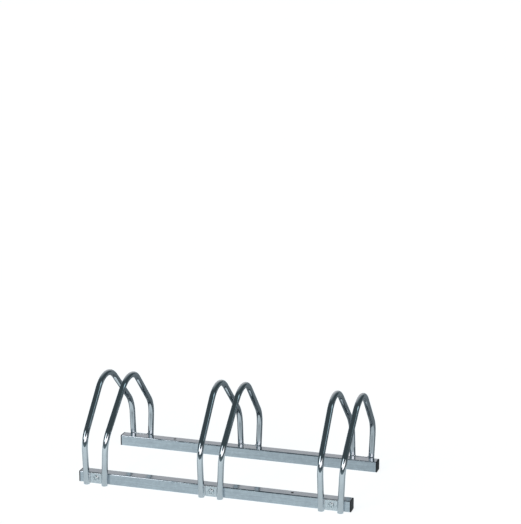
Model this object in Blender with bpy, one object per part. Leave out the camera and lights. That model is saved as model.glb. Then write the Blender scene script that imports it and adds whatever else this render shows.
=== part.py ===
"""Bicycle rack for three wheels: two square floor rails, closed by push-in plastic caps, carry three
wheel holders. A holder is a pair of bent round-tube hoops joined by two welded link plates, and one
screw through each plate, into a rivet nut in the rail, holds it.

Metres, +Z up. X runs along the rails, the front is -Y, and the rack stands on Z = 0 with the origin
in the middle of its footprint.
"""
import math

import bmesh
import bpy
from mathutils import Matrix, Vector

# Rails: square steel tube, one at the front and the same one turned half round at the back
RAIL_END = 0.047
RAIL_SIDE = 0.030
RAIL_WALL = 0.0015
RAIL_CORNER = 0.003
RAIL_PITCH = 0.295
FIXING_HOLE = 0.008
FIXING_HOLE_INSET = 0.107

# Wheel holders: hoops of round steel tube, leaning apart towards the top
SLOTS = 3
SLOT_PITCH = 0.319
TUBE = 0.016
TUBE_WALL = 0.0012
FOOT_SPACING = 0.050
SPLAY = math.radians(2.1)
HOOP_HEIGHT = 0.260
BEND_HEIGHT = 0.1215
BEND_RADIUS = 0.076
TOP_RADIUS = 0.084

# Link plates, welded between the two legs of a holder
PLATE_THICKNESS = 0.004
PLATE_RISE = 0.002
WELD_ON_PLATE = 0.0028
WELD_ON_LEG = 0.0012
WELD_CROWN = 0.0005

# Pan-head screws with a cross recess
SHANK = 0.0076
SCREW_LENGTH = 0.025
SCREW_POINT = 0.0010
HEAD = 0.016
HEAD_HEIGHT = 0.005
HEAD_ROUND = 0.0032
RECESS_SPAN = 0.0088
RECESS_SLOT = 0.0022
RECESS_FLOOR_SPAN = 0.0048
RECESS_FLOOR_SLOT = 0.0015
RECESS_DEPTH = 0.0030
RECESS_TURNS = (38.0, 52.0, 45.0, 30.0, 61.0, 48.0)

# Rivet nuts in the outer walls of the rails
NUT_BODY = 0.011
NUT_FLANGE = 0.0134
NUT_FLANGE_THICKNESS = 0.0006
NUT_BULGE = 0.0140
NUT_BULGE_LENGTH = 0.0030
NUT_LENGTH = 0.015

# End caps: a rounded square head with a ribbed hollow plug behind it
CAP_RIM = 0.0035
CAP_EDGE = 0.0012
CAP_PLUG = 0.014
CAP_PLUG_WALL = 0.0020
CAP_LEAD_IN = 0.0005
CAP_RIB = 0.0009
CAP_RIBS = 2
CAP_RIB_PITCH = 0.0045

# Fit
CLEAR = 0.0003
PLATE_HOLE_CLEAR = 0.0005
CUT_THROUGH = 0.001

# Facets
TUBE_SIDES = 16
ROUND_SIDES = 16
NUT_SIDES = 12
BEND_STEPS = 5
TOP_STEPS = 10
CORNER_STEPS = 3
CAP_CORNER_STEPS = 2
CAP_EDGE_STEPS = 2
HEAD_ROUND_STEPS = 3
BULGE_STEPS = 3
WELD_STEPS = 5
SMOOTH_ANGLE = math.radians(35)

# Places worked out from the sizes above. "Outward" is the distance from a rail's outer face.
OUTER_SLOT_X = SLOT_PITCH * (SLOTS - 1) / 2
RAIL_LENGTH = 2 * (OUTER_SLOT_X + RAIL_END)
FIXING_HOLE_X = OUTER_SLOT_X - FIXING_HOLE_INSET
FACE_Y = (RAIL_PITCH + RAIL_SIDE) / 2
LEG_OUTWARD = CLEAR + TUBE / 2
PLATE_BACK = 2 * CLEAR + NUT_FLANGE_THICKNESS
PLATE_FRONT = PLATE_BACK + PLATE_THICKNESS
PLATE_TOP = RAIL_SIDE
SCREW_Z = (PLATE_RISE + PLATE_TOP) / 2
SCREW_SEAT = PLATE_FRONT + CLEAR

ZINC = ((0.46, 0.50, 0.53), 0.28, 1.0)
BRIGHT_ZINC = ((0.60, 0.63, 0.64), 0.22, 1.0)
YELLOWED_ZINC = ((0.52, 0.47, 0.36), 0.35, 1.0)
BLACK_PLASTIC = ((0.020, 0.020, 0.021), 0.55, 0.0)


def clear_scene():
    for item in list(bpy.data.objects):
        bpy.data.objects.remove(item, do_unlink=True)


def finish_material(name, finish):
    colour, roughness, metallic = finish
    material = bpy.data.materials.new(name + "_finish")
    material.use_nodes = True
    shader = material.node_tree.nodes["Principled BSDF"]
    shader.inputs["Base Color"].default_value = (*colour, 1.0)
    shader.inputs["Roughness"].default_value = roughness
    shader.inputs["Metallic"].default_value = metallic
    material.diffuse_color = (*colour, 1.0)
    return material


def add_object(name, bm, matrix=None):
    """Turn a bmesh into an object, with its faces pointing out."""
    bmesh.ops.recalc_face_normals(bm, faces=bm.faces)
    mesh = bpy.data.meshes.new(name)
    bm.to_mesh(mesh)
    bm.free()
    item = bpy.data.objects.new(name, mesh)
    if matrix is not None:
        item.matrix_world = matrix
    bpy.context.collection.objects.link(item)
    return item


def add_piece(name, bm, finish, matrix=None):
    item = add_object(name, bm, matrix)
    item.data.materials.append(finish_material(name, finish))
    item.data.shade_smooth()
    item.data.set_sharp_from_angle(angle=SMOOTH_ANGLE)
    return item


def add_cutter(name, bm):
    item = add_object(name, bm)
    item.hide_render = True
    item.display_type = 'WIRE'
    return item


def cut(item, cutter):
    modifier = item.modifiers.new("cut_" + cutter.name, 'BOOLEAN')
    modifier.operation = 'DIFFERENCE'
    modifier.solver = 'EXACT'
    modifier.object = cutter


def bridge(bm, rings, closed=False):
    """Join rings of equally many vertices with quads; closed joins the last ring to the first."""
    pairs = list(zip(rings, rings[1:]))
    if closed:
        pairs.append((rings[-1], rings[0]))
    for near, far in pairs:
        count = len(near)
        for i in range(count):
            j = (i + 1) % count
            bm.faces.new((near[i], near[j], far[j], far[i]))


def ring_of(bm, points):
    return [bm.verts.new(point) for point in points]


def circle(radius, sides, outward):
    """Points round the outward axis, which is local Z."""
    steps = [2 * math.pi * i / sides for i in range(sides)]
    return [(radius * math.cos(a), radius * math.sin(a), outward) for a in steps]


def flats_clear(radius, sides):
    """Corner radius of a polygon whose flat sides stay at this radius."""
    return radius / math.cos(math.pi / sides)


def rounded_square(half, corner, steps, outward):
    """A square with round corners, of steps segments each, across the outward axis."""
    points = []
    for quarter in range(4):
        middle = math.radians(45 + 90 * quarter)
        centre_u = math.copysign(half - corner, math.cos(middle))
        centre_v = math.copysign(half - corner, math.sin(middle))
        for i in range(steps + 1):
            a = math.radians(90 * quarter + 90 * i / steps)
            points.append((centre_u + corner * math.cos(a), centre_v + corner * math.sin(a), outward))
    return points


def holder_places():
    """Middle of each wheel slot along X, from left to right."""
    return [SLOT_PITCH * i - OUTER_SLOT_X for i in range(SLOTS)]


def on_rail_face(side, x, z=0.0):
    """Local Z points outward from the outer face of the front (-1) or rear (+1) rail, local Y up."""
    turn = Matrix(((-side, 0, 0), (0, 0, side), (0, 1, 0))).to_4x4()
    return Matrix.Translation((x, side * FACE_Y, z)) @ turn


def on_rail_end(side, y):
    """Local Z points outward from the left (-1) or right (+1) end of a rail, local Y up."""
    turn = Matrix(((0, 0, side), (side, 0, 0), (0, 1, 0))).to_4x4()
    return Matrix.Translation((side * RAIL_LENGTH / 2, y, RAIL_SIDE / 2)) @ turn


def add_drill(bm, radius, near, far, matrix):
    """A closed cylinder between two depths along local Z, its flats at the radius."""
    corner = flats_clear(radius, ROUND_SIDES)
    rings = [ring_of(bm, circle(corner, ROUND_SIDES, outward)) for outward in (near, far)]
    bridge(bm, rings)
    for ring in rings:
        bm.faces.new(ring)
    bmesh.ops.transform(bm, matrix=matrix, verts=[vert for ring in rings for vert in ring])


def make_rail(name, side):
    """A rail with its rivet nut holes in the outer wall and one fixing hole down through it."""
    bm = bmesh.new()
    rings = []
    half = RAIL_SIDE / 2
    outside = (half, RAIL_CORNER, (-1, 1))
    inside = (half - RAIL_WALL, RAIL_CORNER / 2, (1, -1))
    for reach, corner, ends in (outside, inside):
        for end in ends:
            rings.append(ring_of(bm, rounded_square(reach, corner, CORNER_STEPS, end * RAIL_LENGTH / 2)))
    bridge(bm, rings, closed=True)
    along_x = Matrix(((0, 0, 1), (1, 0, 0), (0, 1, 0))).to_4x4()
    place = Matrix.Translation((0, side * RAIL_PITCH / 2, RAIL_SIDE / 2)) @ along_x
    rail = add_piece(name, bm, ZINC, place)

    holes = bmesh.new()
    for x in holder_places():
        matrix = on_rail_face(side, x, SCREW_Z)
        add_drill(holes, NUT_BODY / 2 + CLEAR, CUT_THROUGH, -RAIL_WALL - CUT_THROUGH, matrix)
    fixing = Matrix.Translation((-side * FIXING_HOLE_X, side * RAIL_PITCH / 2, 0))
    add_drill(holes, FIXING_HOLE / 2, -CUT_THROUGH, RAIL_SIDE + CUT_THROUGH, fixing)
    cut(rail, add_cutter(name + "_holes", holes))


def cap_profile():
    """Outline of a cap from the middle of its head to the floor of its plug: outward, half, corner."""
    half = RAIL_SIDE / 2
    rib = half - RAIL_WALL - CLEAR
    sleeve = rib - CAP_RIB
    hollow = sleeve - CAP_PLUG_WALL
    rows = []
    for i in range(CAP_EDGE_STEPS + 1):
        a = math.pi / 2 * i / CAP_EDGE_STEPS
        inset = CAP_EDGE * (1 - math.sin(a))
        rows.append((CAP_RIM - CAP_EDGE * (1 - math.cos(a)), half - inset, RAIL_CORNER - inset))
    rows.append((CLEAR, half, RAIL_CORNER))
    rows.append((CLEAR, sleeve, RAIL_WALL))
    for i in range(CAP_RIBS):
        start = -CAP_RIB_PITCH * (i + 0.5)
        rows.append((start, sleeve, RAIL_WALL))
        rows.append((start - CAP_RIB / 2, rib, RAIL_WALL))
        rows.append((start - 2 * CAP_RIB, sleeve, RAIL_WALL))
    rows.append((-CAP_PLUG, sleeve - CAP_LEAD_IN, RAIL_WALL))
    rows.append((-CAP_PLUG, hollow, RAIL_WALL / 2))
    rows.append((CLEAR, hollow, RAIL_WALL / 2))
    return rows


def make_cap(name, end, side):
    bm = bmesh.new()
    rings = []
    for outward, half, corner in cap_profile():
        rings.append(ring_of(bm, rounded_square(half, corner, CAP_CORNER_STEPS, outward)))
    bridge(bm, rings)
    bm.faces.new(rings[0])
    bm.faces.new(rings[-1])
    add_piece(name, bm, BLACK_PLASTIC, on_rail_end(end, side * RAIL_PITCH / 2))


def hoop_path():
    """Stations along a hoop in its own plane: across the rack, up the plane, and the turn of the
    outward normal. The slope between the bends is the line that touches both arcs."""
    leg = FACE_Y + LEG_OUTWARD
    top_centre = HOOP_HEIGHT / math.cos(SPLAY) - TUBE / 2 - TOP_RADIUS
    rise = top_centre - BEND_HEIGHT
    slope = math.atan2(rise, leg) + math.asin(TOP_RADIUS / math.hypot(rise, leg))
    bend = math.pi / 2 - slope
    bend_centre = BEND_HEIGHT - BEND_RADIUS * math.tan(bend / 2)
    arcs = (
        (-leg + BEND_RADIUS, bend_centre, BEND_RADIUS, math.pi, math.pi - bend, BEND_STEPS),
        (0.0, top_centre, TOP_RADIUS, math.pi / 2 + slope, math.pi / 2 - slope, TOP_STEPS),
        (leg - BEND_RADIUS, bend_centre, BEND_RADIUS, bend, 0.0, BEND_STEPS),
    )
    stations = [(-leg, 0.0, math.pi)]
    for across, up, radius, start, stop, steps in arcs:
        for i in range(steps + 1):
            a = start + (stop - start) * i / steps
            stations.append((across + radius * math.cos(a), up + radius * math.sin(a), a))
    stations.append((leg, 0.0, 0.0))
    return stations


def hoop_ring(bm, station, foot, radius, sides, hand):
    """A ring of the tube at one station. The rings at the feet are cut level with the floor."""
    across, up, turn = station
    points = []
    for i in range(sides):
        a = 2 * math.pi * i / sides
        normal = radius * math.cos(a)
        sideways = radius * math.sin(a)
        y = across + normal * math.cos(turn)
        s = up + normal * math.sin(turn)
        if up == 0.0:
            s = hand * sideways * math.tan(SPLAY)
        x = foot + hand * s * math.sin(SPLAY) + sideways * math.cos(SPLAY)
        z = s * math.cos(SPLAY) - hand * sideways * math.sin(SPLAY)
        points.append((x, y, z))
    return ring_of(bm, points)


def close_foot(bm, outer, inner):
    """Join an outer ring to an inner ring that has half as many vertices."""
    count = len(inner)
    for i in range(count):
        j = (i + 1) % count
        near, middle, far = outer[2 * i], outer[2 * i + 1], outer[2 * j]
        bm.faces.new((near, middle, inner[i]))
        bm.faces.new((middle, inner[j], inner[i]))
        bm.faces.new((middle, far, inner[j]))


def make_hoop(name, slot_x, hand):
    """A hollow hoop on the left (-1) or right (+1) of its slot, leaning away from it."""
    bm = bmesh.new()
    foot = slot_x + hand * FOOT_SPACING / 2
    stations = hoop_path()
    inner_radius = TUBE / 2 - TUBE_WALL
    outer = [hoop_ring(bm, s, foot, TUBE / 2, TUBE_SIDES, hand) for s in stations]
    inner = [hoop_ring(bm, s, foot, inner_radius, TUBE_SIDES // 2, hand) for s in stations]
    bridge(bm, outer)
    bridge(bm, inner)
    close_foot(bm, outer[0], inner[0])
    close_foot(bm, outer[-1], inner[-1])
    add_piece(name, bm, ZINC)


def plate_edge(height):
    """Half outline of a link plate at this height, from its back along the leg that it is welded to
    and over the weld to its front: distance from the middle, outward."""
    leg = FOOT_SPACING / 2 + height * math.tan(SPLAY)
    hug = TUBE / 2 + CLEAR
    start = math.asin((LEG_OUTWARD - PLATE_BACK) / hug)
    front = math.asin((LEG_OUTWARD - PLATE_FRONT) / hug)
    stop = math.asin((LEG_OUTWARD - PLATE_FRONT - WELD_ON_LEG) / hug)
    points = []
    for i in range(WELD_STEPS + 1):
        a = start + (stop - start) * i / WELD_STEPS
        points.append(Vector((leg - hug * math.cos(a), LEG_OUTWARD - hug * math.sin(a))))
    toe = Vector((leg - hug * math.cos(front) - WELD_ON_PLATE, PLATE_FRONT))
    chord = toe - points[-1]
    crown = Vector((chord.y, -chord.x)).normalized() * WELD_CROWN
    middle = (toe + points[-1]) / 2
    points.append(middle + (crown if crown.y > 0 else -crown))
    points.append(toe)
    return points


def make_plate(name, side, slot_x, cutter):
    bm = bmesh.new()
    rings = []
    for height in (PLATE_RISE, PLATE_TOP):
        edge = plate_edge(height)
        outline = [(p.x, height, p.y) for p in edge] + [(-p.x, height, p.y) for p in reversed(edge)]
        rings.append(ring_of(bm, outline))
    bridge(bm, rings)
    for ring in rings:
        bm.faces.new(ring)
    plate = add_piece(name, bm, ZINC, on_rail_face(side, slot_x))
    cut(plate, cutter)


def revolve(bm, profile, sides, closed):
    """Turn a profile of radius and outward pairs about local Z, and return its rings. A profile that
    isn't closed leaves its first and last rings open."""
    rings = [ring_of(bm, circle(radius, sides, outward)) for radius, outward in profile]
    bridge(bm, rings, closed)
    return rings


def head_profile():
    """Pan head and shank, from the flat of the crown to the tip."""
    half = HEAD / 2
    top = SCREW_SEAT + HEAD_HEIGHT
    tip = SCREW_SEAT - SCREW_LENGTH
    rows = []
    for i in range(HEAD_ROUND_STEPS + 1):
        a = math.pi / 2 * i / HEAD_ROUND_STEPS
        rows.append((half - HEAD_ROUND * (1 - math.sin(a)), top - HEAD_ROUND * (1 - math.cos(a))))
    rows.append((half, SCREW_SEAT))
    rows.append((SHANK / 2, SCREW_SEAT))
    rows.append((SHANK / 2, tip + SCREW_POINT))
    rows.append((SHANK / 2 - SCREW_POINT, tip))
    return rows


def make_screw(name, side, slot_x, cutter):
    bm = bmesh.new()
    rings = revolve(bm, head_profile(), ROUND_SIDES, closed=False)
    bm.faces.new(rings[0])
    bm.faces.new(rings[-1])
    screw = add_piece(name, bm, BRIGHT_ZINC, on_rail_face(side, slot_x, SCREW_Z))
    cut(screw, cutter)


def cross_outline(span, slot, outward, turn):
    """Twelve corners of a cross, turned about the outward axis."""
    arm = span / 2
    half = slot / 2
    corners = []
    for quarter in range(4):
        spin = Matrix.Rotation(turn + quarter * math.pi / 2, 3, 'Z')
        for u, v in ((arm, -half), (arm, half), (half, half)):
            corners.append(spin @ Vector((u, v, outward)))
    return corners


def add_recess(bm, turn, matrix):
    """A cross-shaped plug that tapers to its floor, as a driver bit does."""
    top = SCREW_SEAT + HEAD_HEIGHT
    rows = (
        (RECESS_SPAN, RECESS_SLOT, top + CUT_THROUGH),
        (RECESS_FLOOR_SPAN, RECESS_FLOOR_SLOT, top - RECESS_DEPTH),
    )
    rings = [ring_of(bm, cross_outline(span, slot, outward, turn)) for span, slot, outward in rows]
    bridge(bm, rings)
    for ring in rings:
        bm.faces.new(ring)
    bmesh.ops.transform(bm, matrix=matrix, verts=[vert for ring in rings for vert in ring])


def nut_profile():
    """Closed outline of a set rivet nut: flange, body through the wall, bulge behind it, bore."""
    bore = flats_clear(SHANK / 2 + CLEAR, NUT_SIDES)
    seat = CLEAR + NUT_FLANGE_THICKNESS
    behind = -RAIL_WALL - CLEAR
    body = NUT_BODY / 2
    rows = [(bore, seat), (NUT_FLANGE / 2, seat), (NUT_FLANGE / 2, CLEAR), (body, CLEAR)]
    for i in range(BULGE_STEPS + 1):
        a = math.pi * i / BULGE_STEPS
        swell = (NUT_BULGE / 2 - body) * math.sin(a)
        rows.append((body + swell, behind - NUT_BULGE_LENGTH * (1 - math.cos(a)) / 2))
    rows.append((body, -NUT_LENGTH))
    rows.append((bore, -NUT_LENGTH))
    return rows


def make_nut(name, side, slot_x):
    bm = bmesh.new()
    revolve(bm, nut_profile(), NUT_SIDES, closed=True)
    add_piece(name, bm, YELLOWED_ZINC, on_rail_face(side, slot_x, SCREW_Z))


def make_rails():
    for name, side in (("front", -1), ("rear", 1)):
        make_rail(name + "_rail", side)
        for hand, end in (("left", -1), ("right", 1)):
            make_cap("end_cap_" + name + "_" + hand, end, side)


def make_hoops():
    for number, slot_x in enumerate(holder_places(), start=1):
        make_hoop("hoop_%d_left" % number, slot_x, -1)
        make_hoop("hoop_%d_right" % number, slot_x, 1)


def make_fastenings():
    """Link plates, screws and rivet nuts, which share their drills and their cross-shaped cutter."""
    plate_holes = bmesh.new()
    recesses = bmesh.new()
    turns = iter(RECESS_TURNS * SLOTS)
    for side in (-1, 1):
        for slot_x in holder_places():
            matrix = on_rail_face(side, slot_x, SCREW_Z)
            add_drill(plate_holes, SHANK / 2 + PLATE_HOLE_CLEAR, 0.0, PLATE_FRONT + CLEAR, matrix)
            add_recess(recesses, math.radians(next(turns)), matrix)
    plate_cutter = add_cutter("plate_holes", plate_holes)
    recess_cutter = add_cutter("screw_recesses", recesses)
    for name, side in (("front", -1), ("rear", 1)):
        for number, slot_x in enumerate(holder_places(), start=1):
            make_plate("link_plate_%s_%d" % (name, number), side, slot_x, plate_cutter)
            make_screw("screw_%s_%d" % (name, number), side, slot_x, recess_cutter)
            make_nut("rivet_nut_%s_%d" % (name, number), side, slot_x)


def main():
    clear_scene()
    make_rails()
    make_hoops()
    make_fastenings()


main()
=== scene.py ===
"""Bicycle rack for three wheels, dressed for a studio picture: bright zinc-plated rails, hoops, link
plates and screws, with black plastic caps in the ends of the rails.

Metres, +Z up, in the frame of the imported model. The rails lie along X and the front is -Y.
"""

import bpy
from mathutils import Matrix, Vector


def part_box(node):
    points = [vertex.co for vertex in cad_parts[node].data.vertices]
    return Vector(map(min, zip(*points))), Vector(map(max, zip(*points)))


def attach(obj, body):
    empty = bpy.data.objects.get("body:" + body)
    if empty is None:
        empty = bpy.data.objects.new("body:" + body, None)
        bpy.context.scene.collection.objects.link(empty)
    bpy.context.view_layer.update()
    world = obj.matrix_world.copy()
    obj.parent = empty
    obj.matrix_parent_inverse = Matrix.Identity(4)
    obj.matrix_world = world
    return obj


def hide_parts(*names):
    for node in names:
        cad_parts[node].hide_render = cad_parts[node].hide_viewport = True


bl_info = {
    "name": "Bicycle rack",
    "version": (1, 0, 0),
    "blender": (4, 5, 0),
    "location": "3D View > Sidebar > Bicycle rack",
    "description": "Builds a zinc-plated floor rack for three bicycles and a plain studio round it",
    "category": "Add Mesh",
}

import math

import bmesh
import bpy
from bpy.props import FloatProperty, FloatVectorProperty, IntProperty, PointerProperty
from mathutils import Euler, Matrix, Vector

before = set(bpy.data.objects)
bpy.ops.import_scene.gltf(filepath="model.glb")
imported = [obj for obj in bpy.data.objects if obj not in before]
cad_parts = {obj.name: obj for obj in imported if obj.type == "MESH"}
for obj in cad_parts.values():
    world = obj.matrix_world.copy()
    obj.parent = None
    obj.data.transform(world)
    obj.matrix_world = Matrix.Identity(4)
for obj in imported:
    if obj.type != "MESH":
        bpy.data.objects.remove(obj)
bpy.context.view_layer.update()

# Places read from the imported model
RAIL_LOW, RAIL_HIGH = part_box("front_rail")
RAIL_SIDE = RAIL_HIGH.z - RAIL_LOW.z
RAIL_END_X = RAIL_HIGH.x
RAIL_Y = -(RAIL_LOW.y + RAIL_HIGH.y) / 2
FACE_Y = -RAIL_LOW.y
HOOP_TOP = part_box("hoop_1_left")[1].z
PLATE_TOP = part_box("link_plate_front_1")[1].z
SLOT_X = [sum(corner.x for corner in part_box("link_plate_front_%d" % n)) / 2 for n in (1, 2, 3)]
SCREW_Z = sum(corner.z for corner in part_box("screw_front_1")) / 2
CLEAR = 0.0003

SIDES = (("front", -1), ("rear", 1))
HANDS = (("left", -1), ("right", 1))
PATTERN = "drawn"
SMOOTH_ANGLE = math.radians(32)
WELD_SMOOTH_ANGLE = math.radians(60)
BEVEL_ANGLE = math.radians(40)

# Facets along rounded edges, in a turn of the thread and round a plate's hole
BEVEL_STEPS = 4
CAP_STEPS = 6
HEAD_STEPS = 12
THREAD_STEPS = 6
PLATE_HOLE_SIDES = 32


def length(name, description, default):
    return FloatProperty(name=name, description=description, default=default, unit='LENGTH', precision=5)


def share(name, description, default, high=1.0):
    return FloatProperty(name=name, description=description, default=default, min=0.0, max=high)


def count(name, description, default, low=2):
    return IntProperty(name=name, description=description, default=default, min=low)


def colour(name, description, default):
    return FloatVectorProperty(name=name, description=description, default=default, subtype='COLOR',
                               min=0.0, max=1.0)


class RackRailSettings(bpy.types.PropertyGroup):
    wall: length("Wall", "Wall of the square tube", 0.0015)
    corner: length("Corner", "Outer corner radius of the square tube", 0.0030)
    corner_steps: count("Corner steps", "Facets in each corner", 8)
    nut_hole: length("Nut hole", "Diameter of the holes for the rivet nuts", 0.0116)
    fixing_hole: length("Fixing hole", "Diameter of the hole for a ground bolt", 0.0080)
    fixing_inset: length("Fixing inset", "From the outer slot to the fixing hole", 0.1070)
    hole_sides: count("Hole sides", "Facets round each hole", 40, 8)


class RackCapSettings(bpy.types.PropertyGroup):
    rim: length("Rim", "How far the head stands out of the rail", 0.0035)
    edge: length("Edge", "Radius round the edge of the head", 0.0012)
    crown: length("Crown", "How far the middle of the head bulges", 0.0004)
    plug: length("Plug", "How deep the plug reaches into the rail", 0.0140)
    plug_wall: length("Plug wall", "Wall of the hollow plug", 0.0020)
    rib: length("Rib", "How far a rib stands out of the plug", 0.0009)
    rib_pitch: length("Rib pitch", "Distance from rib to rib", 0.0045)
    ribs: count("Ribs", "Ribs along the plug", 2, 0)
    corner_steps: count("Corner steps", "Facets in each corner", 8)


class RackHoopSettings(bpy.types.PropertyGroup):
    tube: length("Tube", "Diameter of the round tube", 0.0160)
    wall: length("Wall", "Wall of the round tube", 0.0012)
    foot_spacing: length("Foot spacing", "Between the tube axes of a pair, at the floor", 0.0500)
    splay: FloatProperty(name="Splay", description="Lean of each hoop away from its slot",
                         default=math.radians(2.1), subtype='ANGLE')
    bend_height: length("Bend height", "Where the leg and the slope would meet", 0.1215)
    bend_radius: length("Bend radius", "Radius of the two lower bends", 0.0760)
    top_radius: length("Top radius", "Radius of the bend at the top", 0.0840)
    tube_sides: count("Tube sides", "Facets round the tube", 48, 8)
    bend_steps: count("Bend steps", "Facets along each bend", 28, 4)


class RackPlateSettings(bpy.types.PropertyGroup):
    thickness: length("Thickness", "Thickness of the plate", 0.0040)
    back: length("Back", "From the rail's face to the back of the plate", 0.0012)
    rise: length("Rise", "From the floor to the plate's lower edge", 0.0020)
    hole: length("Hole", "Diameter of the screw hole", 0.0086)
    edge: length("Edge", "Radius of the sheared edge round the plate", 0.0018)


class RackWeldSettings(bpy.types.PropertyGroup):
    bead: length("Bead", "Radius of the bead", 0.0030)
    return_length: length("Return", "How far the bead turns over the top edge of the plate", 0.0028)
    ripple_pitch: length("Ripple pitch", "Distance from ripple to ripple", 0.0014)
    ripple: share("Ripple", "Depth of a ripple as a share of the bead", 0.10)
    wander: length("Wander", "How far the hand-laid bead strays", 0.0007)
    bead_sides: count("Bead sides", "Facets round the bead", 14, 6)


class RackScrewSettings(bpy.types.PropertyGroup):
    head: length("Head", "Diameter of the pan head", 0.0160)
    head_height: length("Head height", "Height of the pan head", 0.0050)
    head_round: length("Head round", "Radius round the edge of the head", 0.0032)
    core: length("Core", "Diameter at the bottom of the thread", 0.0066)
    thread: length("Thread", "Diameter over the thread", 0.0078)
    thread_pitch: length("Thread pitch", "Distance from turn to turn", 0.00125)
    screw_length: length("Length", "From under the head to the tip", 0.0250)
    recess_span: length("Recess span", "Width across the cross recess", 0.0096)
    recess_slot: length("Recess slot", "Width of one slot of the recess", 0.0026)
    recess_depth: length("Recess depth", "Depth of the recess", 0.0030)
    sides: count("Sides", "Facets round the screw", 32, 12)


class RackFinishSettings(bpy.types.PropertyGroup):
    zinc: colour("Zinc", "Plating on the rails", (0.525, 0.57, 0.615))
    tube_zinc: colour("Tube zinc", "Brighter plating on the round tubes", (0.63, 0.655, 0.682))
    zinc_cloud: colour("Zinc cloud", "Paler clouds in the plating", (0.62, 0.67, 0.71))
    tube_cloud: colour("Tube cloud", "Paler clouds on the round tubes", (0.715, 0.74, 0.76))
    plate_zinc: colour("Plate zinc", "Plating on the plates", (0.63, 0.67, 0.70))
    plate_cloud: colour("Plate cloud", "Paler clouds on the plates and welds", (0.80, 0.835, 0.86))
    weld_zinc: colour("Weld zinc", "Plating over the welds", (0.69, 0.73, 0.76))
    screw_zinc: colour("Screw zinc", "Plating on the screws", (0.78, 0.82, 0.84))
    nut_zinc: colour("Nut zinc", "Yellowed plating on the rivet nuts", (0.50, 0.45, 0.34))
    plastic: colour("Plastic", "Black plastic of the caps", (0.020, 0.020, 0.021))
    tube_gloss: share("Tube roughness", "Roughness of the round tubes", 0.05)
    rail_gloss: share("Rail roughness", "Roughness of the rails", 0.10)
    cloud: length("Cloud size", "Size of the clouds in the plating", 0.012)


class RackStageSettings(bpy.types.PropertyGroup):
    floor: colour("Floor", "Colour of the floor", (0.45, 0.50, 0.53))
    floor_lift: share("Floor lift", "Light that the floor adds to the picture", 0.88)
    floor_tint: colour("Floor tint", "Colour of the floor's light in reflections", (0.86, 0.97, 1.0))
    # The floor's glow in reflections is painted light, with painted shade behind the front rail and behind
    # the rack
    floor_near: share("Floor near", "Light that the floor by the rack adds to reflections", 0.56)
    floor_far: share("Floor far", "Light that the floor far in front adds to reflections", 0.71)
    floor_shade: share("Floor shade", "Light that the floor behind the front rail adds to reflections", 0.18)
    floor_dim: share("Floor dim", "Light that the floor behind the rack adds to reflections", 0.05)
    room: share("Room", "Strength of the dim room", 0.088)
    room_tint: colour("Room tint", "Colour of the dim room", (0.655, 0.905, 1.0))
    left_box: share("Left box", "Strength of the left soft box", 4.6, high=20.0)
    right_box: share("Right box", "Strength of the right soft box", 1.7, high=20.0)
    side_panel: share("Side panel", "Strength of the narrow panel at the right", 1.1, high=20.0)
    wall: share("Wall", "Strength of the wall behind", 0.55, high=4.0)
    wall_tint: colour("Wall tint", "Colour of the wall behind", (1.0, 0.96, 0.97))
    lens: FloatProperty(name="Lens", description="Focal length", default=108.50, unit='CAMERA')


class RackSettings(bpy.types.PropertyGroup):
    rails: PointerProperty(type=RackRailSettings)
    caps: PointerProperty(type=RackCapSettings)
    hoops: PointerProperty(type=RackHoopSettings)
    plates: PointerProperty(type=RackPlateSettings)
    welds: PointerProperty(type=RackWeldSettings)
    screws: PointerProperty(type=RackScrewSettings)
    finish: PointerProperty(type=RackFinishSettings)
    stage: PointerProperty(type=RackStageSettings)


# Node trees

NUMBER = 'NodeSocketFloat'
COUNT = 'NodeSocketInt'
PLACE = 'NodeSocketVector'
COLOUR = 'NodeSocketColor'
SHAPE = 'NodeSocketGeometry'
FINISH = 'NodeSocketMaterial'


def wire(tree, node, inputs):
    """Give sockets, by name or number, their values or the outputs that feed them."""
    for key, value in inputs.items():
        if isinstance(value, bpy.types.NodeSocket):
            tree.links.new(value, node.inputs[key])
        else:
            node.inputs[key].default_value = value


def put(tree, kind, inputs=None, **settings):
    """Add a node with its settings and inputs, on a grid that keeps the tree legible."""
    made = tree.nodes.new(kind)
    made.location = (170 * (len(tree.nodes) % 12), -220 * (len(tree.nodes) // 12))
    for key, value in settings.items():
        setattr(made, key, value)
    wire(tree, made, inputs or {})
    return made


def step(tree, kind, inputs=None, **settings):
    """Add a node, and return its first output."""
    return put(tree, kind, inputs, **settings).outputs[0]


def sums(tree, operation, *values):
    """One step of arithmetic, and its result."""
    return step(tree, 'ShaderNodeMath', dict(enumerate(values)), operation=operation)


def times(tree, first, *others):
    """The product of several values."""
    for other in others:
        first = sums(tree, 'MULTIPLY', first, other)
    return first


def blend_colours(tree, amount, first, second):
    inputs = {0: amount, 6: first, 7: second}
    return put(tree, 'ShaderNodeMix', inputs, data_type='RGBA').outputs[2]


def blend_numbers(tree, amount, first, second):
    return step(tree, 'ShaderNodeMix', {0: amount, 2: first, 3: second}, data_type='FLOAT')


def spread(tree, value, low, high, to_low=0.0, to_high=1.0):
    """Map a value's range onto another and clamp it there."""
    inputs = {"Value": value, "From Min": low, "From Max": high, "To Min": to_low, "To Max": to_high}
    return step(tree, 'ShaderNodeMapRange', inputs)


def open_tree(name, kind, inputs, outputs):
    """A node group whose named sockets are listed by kind.

    Returns the tree, what it is given and its output node.
    """
    tree = bpy.data.node_groups.new(name, kind)
    for direction, sockets in (('INPUT', inputs), ('OUTPUT', outputs)):
        for socket_type, titles in sockets:
            for title in titles:
                tree.interface.new_socket(name=title, in_out=direction, socket_type=socket_type)
    return tree, put(tree, 'NodeGroupInput').outputs, put(tree, 'NodeGroupOutput')


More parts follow.
